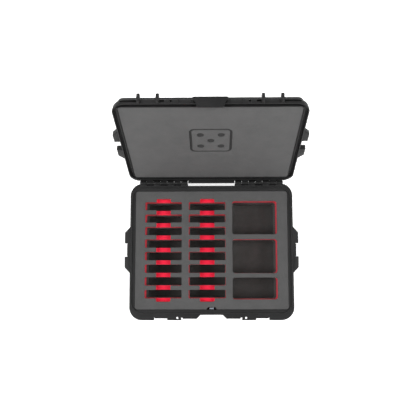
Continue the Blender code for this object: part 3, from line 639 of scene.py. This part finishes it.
def base_sections():
    """Outside of the tub from its underside, over the rim, and down the inside to its floor."""
    wall = 0.005
    foot = 0.006
    low_offset = wall - PARTING * DRAFT
    sections = []
    for step in range(7):
        angle = math.radians(90 * step / 6)
        offset = low_offset - foot + foot * math.sin(angle)
        corner = FOAM_CORNER + wall - foot + foot * math.sin(angle)
        sections.append((offset, foot - foot * math.cos(angle), corner, 0, 0))
    sections.append((wall - 0.0001, 0.1430, FOAM_CORNER + wall, 0, 0))
    sections.append((wall + 0.0006, 0.1454, FOAM_CORNER + wall + 0.001, 0, 0))
    sections.append((wall + 0.0030, UNDER_RIM_Z, FOAM_CORNER + wall + 0.003, 0, 0))
    rim = [(RIM - 0.0038, UNDER_RIM_Z), (RIM - 0.0030, 0.1452), (RIM - 0.0030, RIM_LOW + 0.0005),
           (RIM - 0.0025, RIM_LOW), (RIM - 0.0005, RIM_LOW), (RIM, RIM_LOW + 0.0005)]
    edge = 0.0016
    for step in range(1, 6):
        angle = math.radians(90 * step / 5)
        rim.append((RIM - edge + edge * math.cos(angle), PARTING - edge + edge * math.sin(angle)))
    sections += [(offset, height, concentric(offset), SHELF, BASE_REAR) for offset, height in rim]
    ridge_out = 0.0125
    ridge_in = 0.0095
    ridge_top = PARTING + 0.0045
    ridge = [(ridge_out + 0.0004, PARTING), (ridge_out, PARTING + 0.0004),
             (ridge_out, ridge_top - 0.0009), (ridge_out - 0.0009, ridge_top),
             (ridge_in + 0.0009, ridge_top), (ridge_in, ridge_top - 0.0009),
             (ridge_in, PARTING + 0.0002), (ridge_in - 0.0004, PARTING - 0.0002)]
    sections += [(offset, height, concentric(offset), 0, 0) for offset, height in ridge]
    sections.append((0.0022, PARTING - 0.0002, 0.0125, 0, 0))
    sections.append((0.0009, PARTING - 0.0007, 0.0112, 0, 0))
    sections.append((0.0005, PARTING - 0.0020, 0.0105, 0, 0))
    sections.append((0.0005 - 0.1400 * DRAFT, 0.0090, 0.0100, 0, 0))
    sections.append((-0.0012 - 0.1400 * DRAFT, 0.0076, 0.0090, 0, 0))
    return sections


def placed_at_latches(make):
    copies = []
    for place in LATCH_PLACES.values():
        item = make()
        item.data.transform(place)
        copies.append(item)
    return copies


def latch_slot():
    """Notch that a latch swings through, deeper under the rim than at its top."""
    half = LATCH_SLOT_HALF
    lower = block((-half, -0.03, 0.090), (half, 0.0095, PARTING - 0.006))
    upper = block((-half, -0.03, 0.100), (half, -0.0075, PARTING + 0.02))
    return add(lower, upper)


def latch_recess():
    """Sunk panel in the shelf behind a front latch's notch, with a bar across it."""
    panel = block((-0.0190, -0.0090, PARTING - 0.0014), (0.0190, 0.0050, PARTING + 0.01))
    return cut(panel, block((-0.0150, -0.0050, 0.1), (0.0150, 0.0010, 0.2)))


def latch_ears():
    """Two rounded lugs that carry a latch's pin."""
    ears = []
    profile = round_corners([(0.0135, 0.118, 0.002), (0.0135, 0.1455, 0.0), (-0.0123, 0.1455, 0.0),
                             (-0.0125, 0.128, 0.0055), (-0.0060, 0.1250, 0.004)], 6)
    for side in (-1, 1):
        low, high = sorted(side * x for x in LATCH_EAR_X)
        ears.append(plate([profile], low, high, edge=0.0005, along="X"))
    return merged(ears)


def side_bump(side, z_low, z_high, edge, root):
    """Bump guard at the middle of a side, the same outline on the base and the lid."""
    inner = side * (SIDE_EDGE - root)
    rim = side * SIDE_EDGE
    outer = side * (SIDE_EDGE + SHELF + 0.0005)
    half = SIDE_GUARD_HALF
    flat = SIDE_GUARD_FLAT_HALF
    corners = [(inner, -half, 0.0), (rim, -half, 0.003), (outer, -flat, 0.006),
               (outer, flat, 0.006), (rim, half, 0.003), (inner, half, 0.0)]
    if side < 0:
        corners.reverse()
    return plate([round_corners(corners, 5)], z_low, z_high, edge=edge)


def side_bumps():
    """The base's guards, notched for the side latches, with legs that run down the tub."""
    found = []
    for side in (-1, 1):
        guard = side_bump(side, 0.124, PARTING - 0.0012, 0.0009, 0.006)
        slot = latch_slot()
        slot.data.transform(LATCH_PLACES["left" if side < 0 else "right"])
        found.append(cut(guard, slot))
        for y in (-0.036, 0.036):
            low, high = sorted((side * (SIDE_EDGE - 0.0135), side * (SIDE_EDGE + 0.010)))
            found.append(soften(block((low, y - 0.006, 0.070), (high, y + 0.006, 0.1255)), 0.0015))
    return merged(found)


def hinge_wells(z_low, z_high):
    """Room for the barrels in the rear rim of either shell, and the open gap between the hinges."""
    found = [block((-REAR_GAP_HALF, REAR_EDGE + 0.0005, 0.1), (REAR_GAP_HALF, 0.25, 0.2))]
    for side in (-1, 1):
        low, high = sorted((side * (REAR_GAP_HALF - 0.001), side * (HINGE_OUTER_X + 0.001)))
        found.append(block((low, REAR_EDGE + 0.0015, z_low), (high, 0.25, z_high)))
    return found


def hinge_ledges():
    """Floor under each row of barrels, and the skirt of the rim between the two rows."""
    found = [block((-REAR_GAP_HALF - 0.001, REAR_EDGE - 0.0025, RIM_LOW),
                   (REAR_GAP_HALF + 0.001, REAR_EDGE + 0.0003, PARTING - 0.0055))]
    for side in (-1, 1):
        low, high = sorted((side * REAR_GAP_HALF, side * (HINGE_OUTER_X + 0.002)))
        found.append(block((low, HALF_Y + 0.0045, RIM_LOW + 0.0005),
                           (high, REAR_EDGE + BASE_REAR - 0.001, HINGE_LEDGE_Z - 0.0002)))
    return merged([soften(item, 0.0006, 2) for item in found])


def hinge_guards():
    """Rear ledge of the lid over each row of barrels."""
    found = []
    for side in (-1, 1):
        low, high = sorted((side * (HINGE_INNER_X - 0.0010), side * HINGE_OUTER_X))
        guard = block((low, REAR_ROOT, HINGE_GUARD_Z), (high, HINGE.y + 0.0030, 0.1655))
        found.append(soften(guard, 0.0018))
    return found


def hinge_barrels(for_lid):
    """Knuckles and their webs, taking turns between the two shells."""
    found = []
    pitch = (HINGE_OUTER_X - HINGE_INNER_X) / KNUCKLES
    for side in (-1, 1):
        for index in range(KNUCKLES):
            if (index % 2 == 1) != for_lid:
                continue
            low = HINGE_INNER_X + pitch * index + KNUCKLE_GAP
            high = HINGE_INNER_X + pitch * (index + 1) - KNUCKLE_GAP
            if side < 0:
                low, high = -high, -low
            middle = ((low + high) / 2, HINGE.y, HINGE.z)
            barrel = rod(middle, "X", KNUCKLE_RADIUS, high - low, 40)
            soften(barrel, 0.0006, 2)
            if for_lid:
                corners = [(HINGE.y - 0.0063, HINGE.z, 0.0), (HINGE.y + 0.0060, HINGE.z, 0.0),
                           (HINGE.y + 0.0050, 0.1625, 0.002), (HINGE.y + 0.0020, 0.1660, 0.002),
                           (REAR_ROOT, 0.1660, 0.0), (REAR_ROOT, 0.1560, 0.0),
                           (HINGE.y - 0.0063, 0.1560, 0.001)]
            else:
                corners = [(0.1985, HINGE.z + 0.0040, 0.0), (0.1985, HINGE.z - 0.0095, 0.0),
                           (HINGE.y - 0.002, HINGE.z - 0.0066, 0.002),
                           (HINGE.y, HINGE.z - 0.0060, 0.0), (HINGE.y, HINGE.z + 0.0040, 0.0)]
            web = plate([round_corners(corners, 4)], low + 0.0003, high - 0.0003, edge=0.0004,
                        along="X")
            found += [barrel, web]
    return merged(found)


def shelf_cutters():
    """Cuts in the front shelf: the handle's recess, its stepped edge and the padlock holes."""
    edge = -(FRONT_EDGE + SHELF)
    found = [block((-0.0905, edge - 0.01, 0.12), (0.0905, edge + 0.0045, 0.17))]
    recess = round_corners([(-0.053, edge - 0.012, 0), (0.053, edge - 0.012, 0),
                            (0.046, edge + 0.0050, 0.004), (0.034, edge + 0.0170, 0.008),
                            (-0.034, edge + 0.0170, 0.008), (-0.046, edge + 0.0050, 0.004)], 8)
    found.append(plate([recess], 0.10, 0.18))
    for side in (-1, 1):
        low, high = sorted((side * 0.0900, side * 0.0950))
        found.append(block((low, edge - 0.012, 0.12), (high, edge + 0.008, 0.17)))
        found.append(rod((side * PADLOCK_X, edge + 0.007, 0.150), "Z", PADLOCK_RADIUS, 0.05, 40))
    return found


def shelf_ribs():
    """Stiffening ribs under the rim at the front and the sides."""
    ribs = []
    half = 0.0012
    z_low = 0.1360
    z_high = 0.1470
    for x in (0.131, 0.187, 0.230):
        for side in (-1, 1):
            middle = side * x
            ribs.append(block((middle - half, -0.2165, z_low), (middle + half, -0.1885, z_high)))
    for y in (-0.145, -0.105, 0.105, 0.145):
        for side in (-1, 1):
            low, high = sorted((side * 0.2430, side * 0.2550))
            ribs.append(block((low, y - half, z_low), (high, y + half, z_high)))
    return merged([soften(rib, 0.0004, 2) for rib in ribs])


def handle_ears():
    """Two lugs under the rim that carry the handle's pins."""
    ears = []
    profile = round_corners([(-0.1880, 0.1100, 0.0), (-0.1880, 0.1465, 0.0), (-0.2070, 0.1465, 0.0),
                             (-0.2075, 0.1200, 0.0060), (-0.2010, 0.1165, 0.004)], 6)
    for side in (-1, 1):
        low, high = sorted(side * x for x in HANDLE_EAR_X)
        ears.append(plate([profile], low, high, edge=0.0005, along="X"))
    return merged(ears)


def stack_frame(z_low, z_high, slack, edge):
    """Raised frame on the lid, and with some slack the recess under the base that takes it."""
    outer = rounded_rect(-0.190 - slack, 0.190 + slack, -0.140 - slack, 0.140 + slack, 0.020, 8)
    inner = rounded_rect(-0.165 + slack, 0.165 - slack, -0.115 + slack, 0.115 - slack, 0.012, 8)
    return plate([outer, inner], z_low, z_high, edge=edge)


def build_base_shell():
    shell = sweep(base_sections(), 12)
    cut(shell, *placed_at_latches(latch_slot))
    for name in ("front_left", "front_right"):
        panel = latch_recess()
        panel.data.transform(LATCH_PLACES[name])
        cut(shell, panel)
    cut(shell, *shelf_cutters())
    cut(shell, *hinge_wells(HINGE_LEDGE_Z, 0.2))
    cut(shell, stack_frame(-0.01, 0.0035, 0.002, 0.0))
    cut(shell, rod((0, -0.1900, VALVE_Z), "Y", VALVE_BORE, 0.020, 32))
    finish(shell, "shell_base", "base", SHELL, ("base_shell",))
    details = merged(placed_at_latches(latch_ears) + [side_bumps(), shelf_ribs(), handle_ears(),
                                                      hinge_ledges()])
    finish(details, "shell_base_lugs", "base", SHELL)
    finish(hinge_barrels(False), "hinge_knuckles_base", "base", SHELL)


def lid_sections():
    """Inside of the lid from its ceiling, over the rim and its seal groove, and up the outside."""
    low = PARTING + 0.0003
    groove_top = PARTING + 0.0075
    crown = 0.005
    rim_top = PARTING + 0.018
    sections = [(-0.0052, LID_CEILING, 0.009, 0, 0), (-0.0035, LID_CEILING - 0.001, 0.0098, 0, 0),
                (0.0004, low + 0.0012, 0.0105, 0, 0), (0.0007, low + 0.0004, 0.0108, 0, 0),
                (0.0014, low, 0.0115, 0, 0)]
    for offset, height in ((0.0030, low), (0.0034, low + 0.0004), (0.0034, groove_top)):
        sections.append((offset, height, FOAM_CORNER + offset, 0, 0))
    for offset, height in ((0.0138, groove_top), (0.0138, low + 0.0004), (0.0142, low)):
        sections.append((offset, height, concentric(offset), 0, 0))
    rim = [(RIM - 0.0012, low), (RIM - 0.0003, low + 0.0003), (RIM, low + 0.0012),
           (RIM - 0.0012, PARTING + 0.0095)]
    edge = 0.0040
    for step in range(6):
        angle = math.radians(10 + 80 * step / 5)
        rim.append((RIM - 0.0062 + edge * math.cos(angle), rim_top - edge + edge * math.sin(angle)))
    sections += [(offset, height, concentric(offset), 0, LID_REAR) for offset, height in rim]
    sections.append((crown + 0.0035, rim_top + 0.0002, 0.024, 0, 0))
    sections.append((crown + 0.0010, rim_top + 0.0012, 0.020, 0, 0))
    sections.append((crown - 0.0004, rim_top + 0.0040, 0.018, 0, 0))
    turn = 0.0070
    for step in range(8):
        angle = math.radians(90 * step / 7)
        offset = crown - 0.0095 + turn * math.cos(angle)
        height = LID_TOP - turn + turn * math.sin(angle)
        sections.append((offset, height, 0.010 + turn * math.cos(angle), 0, 0))
    return sections


def latch_guard():
    """Two rounded fins on the lid, either side of a latch."""
    fins = []
    profile = round_corners([(LID_ROOT, 0.1532, 0.0), (LID_ROOT, 0.1615, 0.0), (0.0050, 0.1635, 0.0),
                             (0.0050, 0.1800, 0.0), (-0.0050, 0.1790, 0.004),
                             (-0.0145, 0.1750, 0.006), (-0.0165, 0.1600, 0.006),
                             (-0.0120, 0.1532, 0.004)], 8)
    for x in (-FIN_X, FIN_X):
        fins.append(plate([profile], x - FIN_HALF, x + FIN_HALF, edge=0.0018, edge_steps=3,
                          along="X"))
    return merged(fins)


def lid_bumps():
    """The lid's side guards, open in the middle for the side latches."""
    found = []
    for side in (-1, 1):
        guard = side_bump(side, PARTING + 0.0018, 0.1692, 0.0022, LID_ROOT)
        notch = block((-0.0218, -0.03, 0.1), (0.0218, 0.0, 0.2))
        notch.data.transform(LATCH_PLACES["left" if side < 0 else "right"])
        found.append(cut(guard, notch))
    return found


def lid_tongue():
    """Centre tongue of the lid, with its stiffened root."""
    blade = round_corners([(-0.0460, 0.1690, 0.004), (-0.0440, 0.1600, 0.006),
                           (-0.0370, 0.1525, 0.010), (-0.0345, 0.1365, 0.006),
                           (0.0345, 0.1365, 0.006), (0.0370, 0.1525, 0.010),
                           (0.0440, 0.1600, 0.006), (0.0460, 0.1690, 0.004)], 8)
    front = plate([blade], -FRONT_EDGE - 0.0078, -FRONT_EDGE - 0.0041, edge=0.0007, along="Y")
    root = block((-0.0435, -FRONT_EDGE - 0.0075, 0.1600), (0.0435, -FRONT_EDGE + 0.0035, 0.1680))
    return merged([front, soften(root, 0.0010)])


def rim_pockets():
    """Pockets in the front band of the lid, each shallow below and deeper at the top."""
    found = []
    for low, high in ((0.1880, 0.2330), (0.1180, 0.1310), (0.0980, 0.1040)):
        for side in (-1, 1):
            x_low, x_high = sorted((side * low, side * high))
            found.append(block((x_low, -FRONT_EDGE - 0.01, PARTING + 0.0015),
                               (x_high, -FRONT_EDGE + 0.0022, PARTING + 0.0137)))
            found.append(block((x_low, -FRONT_EDGE - 0.01, PARTING + 0.0083),
                               (x_high, -FRONT_EDGE + 0.0110, PARTING + 0.0136)))
    return found


def build_lid_shell():
    shell = sweep(lid_sections(), 12)
    cut(shell, *rim_pockets())
    cut(shell, *hinge_wells(0.1, HINGE_GUARD_Z))
    finish(shell, "shell_lid", "lid", SHELL, ("lid_shell",), OPEN_LID)
    details = [lid_tongue(), stack_frame(LID_TOP - 0.002, LID_TOP + 0.003, 0.0, 0.0012)]
    details += lid_bumps() + hinge_guards()
    for name in ("front_left", "front_right"):
        fins = latch_guard()
        fins.data.transform(LATCH_PLACES[name])
        details.append(fins)
    for x in (0.050, 0.082):
        for side in (-1, 1):
            nub = block((side * x - 0.0015, -FRONT_EDGE - 0.0012, 0.1560),
                        (side * x + 0.0015, -FRONT_EDGE + LID_ROOT, 0.1685))
            details.append(soften(nub, 0.0006, 2))
    details.append(soften(block((-0.0735, REAR_ROOT, 0.1570), (0.0735, 0.2090, 0.1660)), 0.0010))
    details.append(soften(block((-0.0735, 0.2045, 0.1432), (0.0735, 0.2090, 0.1640)), 0.0010))
    finish(merged(details), "shell_lid_guards", "lid", SHELL, (), OPEN_LID)
    finish(hinge_barrels(True), "hinge_knuckles_lid", "lid", SHELL, (), OPEN_LID)


def build_gasket():
    """Round-shouldered rubber ring at the top of the lid's groove."""
    middle = 0.0110
    top = PARTING + 0.0072
    sections = []
    for step in range(12):
        angle = 2 * math.pi * step / 12
        offset = middle + 0.0024 * math.cos(angle)
        height = top - 0.0011 + 0.0011 * math.sin(angle)
        sections.append((offset, height, concentric(offset), 0, 0))
    finish(band(sections), "seal_ring", "lid", RUBBER, ("lid_gasket",), OPEN_LID)


# ---------------------------------------------------------------- latches

def latch_lever():
    """Lever about its pin, drawn upright: a plate with a window, and the hook at the top."""
    profile = round_corners([(-0.0085, -0.0020, 0.003), (-0.0085, 0.0425, 0.004),
                             (-0.0070, 0.0450, 0.002), (0.0105, 0.0450, 0.002),
                             (0.0105, 0.0392, 0.001), (-0.0020, 0.0392, 0.0015),
                             (-0.0020, 0.0030, 0.002), (-0.0010, -0.0020, 0.0)], 5)
    lever = plate([profile], -0.0195, 0.0195, edge=0.0008, along="X")
    barrel = soften(rod((0, 0, 0), "X", 0.0055, 0.0386, 40), 0.0006, 2)
    add(lever, barrel)
    cut(lever, rod((0, 0, 0), "X", LATCH_BORE, 0.06, 24))
    cut(lever, block((-0.0125, -0.012, 0.0105), (0.0125, 0.002, 0.0365)))
    cut(lever, rod(TRIGGER_PIN, "X", TRIGGER_BORE, 0.034, 20))
    return lever


def latch_trigger():
    """Push button in the lever's window, with grip grooves across it."""
    profile = round_corners([(-0.0078, 0.0115, 0.001), (-0.0088, 0.0200, 0.004),
                             (-0.0088, 0.0330, 0.002), (-0.0078, 0.0355, 0.001),
                             (-0.0045, 0.0355, 0.001), (-0.0045, 0.0170, 0.001),
                             (-0.0032, 0.0150, 0.001), (-0.0032, 0.0122, 0.001),
                             (-0.0045, 0.0112, 0.001)], 4)
    trigger = plate([profile], -0.0120, 0.0120, edge=0.0005, along="X")
    cut(trigger, rod(TRIGGER_PIN, "X", TRIGGER_BORE, 0.034, 20))
    for row in range(5):
        cut(trigger, rod((0, -0.0094, 0.0215 + 0.0024 * row), "X", 0.0009, 0.020, 16))
    return trigger


def build_latches():
    for name, place in LATCH_PLACES.items():
        at_pin = place @ Matrix.Translation((0, -LATCH_PIN_OUT, LATCH_PIN_Z)) @ LATCH_HANG
        finish(latch_lever(), "lever_" + name, "latch_" + name, LATCH,
               ("latch_lever_" + name,), at_pin)
        finish(latch_trigger(), "button_" + name, "trigger_" + name, LATCH,
               ("latch_trigger_" + name,), at_pin)


# ---------------------------------------------------------------- handle and valve

def tube(points, radius, resolution=5):
    curve = bpy.data.curves.new("tube", "CURVE")
    curve.dimensions = "3D"
    curve.bevel_depth = radius
    curve.bevel_resolution = resolution
    curve.use_fill_caps = True
    spline = curve.splines.new("POLY")
    spline.points.add(len(points) - 1)
    for point, place in zip(spline.points, points):
        point.co = (*place, 1.0)
    return solid_from(curve, Matrix.Identity(4))


def turned(profile, sides=48):
    """Closed ring about X from an (x, radius) outline."""
    shape = bmesh.new()
    loops = []
    for step in range(sides):
        angle = 2 * math.pi * step / sides
        loops.append([shape.verts.new((x, radius * math.cos(angle), radius * math.sin(angle)))
                      for x, radius in profile])
    count = len(profile)
    for one, other in zip(loops, loops[1:] + loops[:1]):
        for index in range(count):
            following = (index + 1) % count
            shape.faces.new((one[index], one[following], other[following], other[index]))
    bmesh.ops.recalc_face_normals(shape, faces=shape.faces)
    return object_from(shape)


def build_handle():
    """Bail that hangs from its two pins, with a ribbed rubber grip."""
    half_x = HANDLE_HALF_X
    drop = 0.060
    bend = 0.016
    right = [(half_x, 0.0)] + arc((half_x - bend, bend - drop), bend, 0, -90, 12)
    path = [(-x, 0.0, z) for x, z in right] + [(x, 0.0, z) for x, z in reversed(right)]
    place = Matrix.Translation(JOINTS["handle_swing"]["pos_m"])
    bail = tube(path, 0.0055)
    for x in (-half_x, half_x):
        add(bail, soften(rod((x, 0, 0), "X", 0.0075, 0.0112, 40), 0.0008, 2))
    for x in (-half_x, half_x):
        cut(bail, rod((x, 0, 0), "X", 0.0028, 0.03, 24))
    finish(bail, "handle_bail", "carry_handle", LATCH, ("carry_handle",), place)

    inner = 0.0058
    outer = 0.0085
    groove = 0.0077
    outline = [(-0.045, inner), (-0.045, 0.0074), (-0.0442, 0.0081), (-0.0425, outer)]
    for index in range(9):
        x = -0.0360 + 0.0090 * index
        outline += [(x - 0.0014, outer), (x - 0.0008, groove),
                    (x + 0.0008, groove), (x + 0.0014, outer)]
    outline += [(0.0425, outer), (0.0442, 0.0081), (0.045, 0.0074), (0.045, inner)]
    grip = turned(outline)
    grip.data.transform(Matrix.Translation((0, 0, -drop)))
    finish(grip, "handle_sleeve", "carry_handle", RUBBER, ("handle_grip",), place)


def build_valve():
    """Pressure valve through the front wall: stem, nut inside the case and knob outside."""
    wall_in = -HALF_Y - 0.0002
    wall_out = -0.1908
    nut_y = wall_in + 0.0028
    knob_y = wall_out - 0.0055
    body = rod((0, (wall_in + wall_out) / 2 + 0.0005, VALVE_Z), "Y", 0.0050, 0.0130, 40)
    soften(body, 0.0004, 2)
    flange = soften(rod((0, wall_out - 0.0012, VALVE_Z), "Y", 0.0085, 0.0022, 48), 0.0005, 2)
    finish(merged([body, flange]), "valve_stem", "base", VALVE, ("valve_body",))
    nut = soften(rod((0, nut_y, VALVE_Z), "Y", 0.0085, 0.0042, 6), 0.0006, 2)
    cut(nut, rod((0, nut_y, VALVE_Z), "Y", VALVE_BORE, 0.02, 32))
    finish(nut, "valve_hex_nut", "base", VALVE, ("valve_nut",))
    knob = rod((0, knob_y, VALVE_Z), "Y", 0.0078, 0.0050, 48)
    for x, z in arc((0, VALVE_Z), 0.0084, 0, 330, 11):
        cut(knob, rod((x, knob_y, z), "Y", 0.0012, 0.01, 12))
    cut(knob, rod((0, wall_out - 0.0035, VALVE_Z), "Y", 0.0052, 0.0040, 32))
    finish(knob, "valve_cap", "valve_knob", VALVE, ("valve_knob",))


# ---------------------------------------------------------------- setting

def finish_pins():
    """The steel pins keep their CAD shape and take a better material."""
    for name, node in frame["nodes"].items():
        if "_pin_" in name:
            node.data.materials.clear()
            node.data.materials.append(STEEL)


def build_stage():
    """Plain pale floor, lit a little from within so that it reads white."""
    shape = bmesh.new()
    bmesh.ops.create_grid(shape, x_segments=1, y_segments=1, size=40.0)
    floor = object_from(shape, "studio_floor")
    material, _, _, shader = new_material("studio_floor")
    shader.inputs["Base Color"].default_value = (0.95, 0.95, 0.95, 1.0)
    shader.inputs["Emission Color"].default_value = (1.0, 1.0, 1.0, 1.0)
    shader.inputs["Emission Strength"].default_value = 0.62
    shader.inputs["Roughness"].default_value = 0.95
    shader.inputs["Specular IOR Level"].default_value = 0.05
    floor.data.materials.append(material)


def area_light(name, place, target, size, power):
    data = bpy.data.lights.new(name, "AREA")
    data.shape = "SQUARE"
    data.size = size
    data.energy = power
    lamp = bpy.data.objects.new(name, data)
    bpy.context.scene.collection.objects.link(lamp)
    lamp.location = place
    aim = Vector(target) - Vector(place)
    lamp.rotation_euler = aim.to_track_quat("-Z", "Y").to_euler()


def build_lights():
    """A white horizon under a grey sky, so that the dark plastic shows its shape, and four lamps."""
    world = bpy.data.worlds.new("studio")
    bpy.context.scene.world = world
    world.use_nodes = True
    nodes = world.node_tree.nodes
    links = world.node_tree.links
    direction = nodes.new("ShaderNodeTexCoord")
    axes = nodes.new("ShaderNodeSeparateXYZ")
    links.new(direction.outputs["Generated"], axes.inputs["Vector"])
    fade = ramp(nodes, [(0.02, (1.0, 1.0, 1.0)), (0.50, (0.22, 0.22, 0.22))])
    links.new(axes.outputs["Z"], fade.inputs["Fac"])
    links.new(fade.outputs["Color"], nodes["Background"].inputs["Color"])
    nodes["Background"].inputs["Strength"].default_value = 1.0
    middle = (0, 0, 0.1)
    area_light("key_left", (-1.70, -0.15, 2.9), middle, size=1.4, power=61)
    area_light("key_right", (1.70, -0.15, 2.9), middle, size=1.4, power=57)
    area_light("front", (0.4, -2.6, 1.5), middle, size=1.2, power=3)
    area_light("back", (-0.6, 2.5, 2.4), (0, 0.2, 0.2), size=1.6, power=14)


def build_camera():
    """Camera above the case, looking almost straight down into it."""
    data = bpy.data.cameras.new("camera")
    data.lens = 48.63
    data.sensor_width = 36.0
    camera = bpy.data.objects.new("camera", data)
    bpy.context.scene.collection.objects.link(camera)
    camera.location = (0.0090, -0.0626, FOAM_TOP + 1.7724)
    camera.rotation_euler = Euler((math.radians(6.27), math.radians(0.65), math.radians(-0.11)))
    bpy.context.scene.camera = camera
    bpy.context.scene.view_settings.view_transform = "Standard"


build_camera()
build_lights()
build_stage()
build_base_shell()
build_base_foam()
build_lid_shell()
build_gasket()
build_lid_foam()
build_latches()
build_handle()
build_valve()
finish_pins()
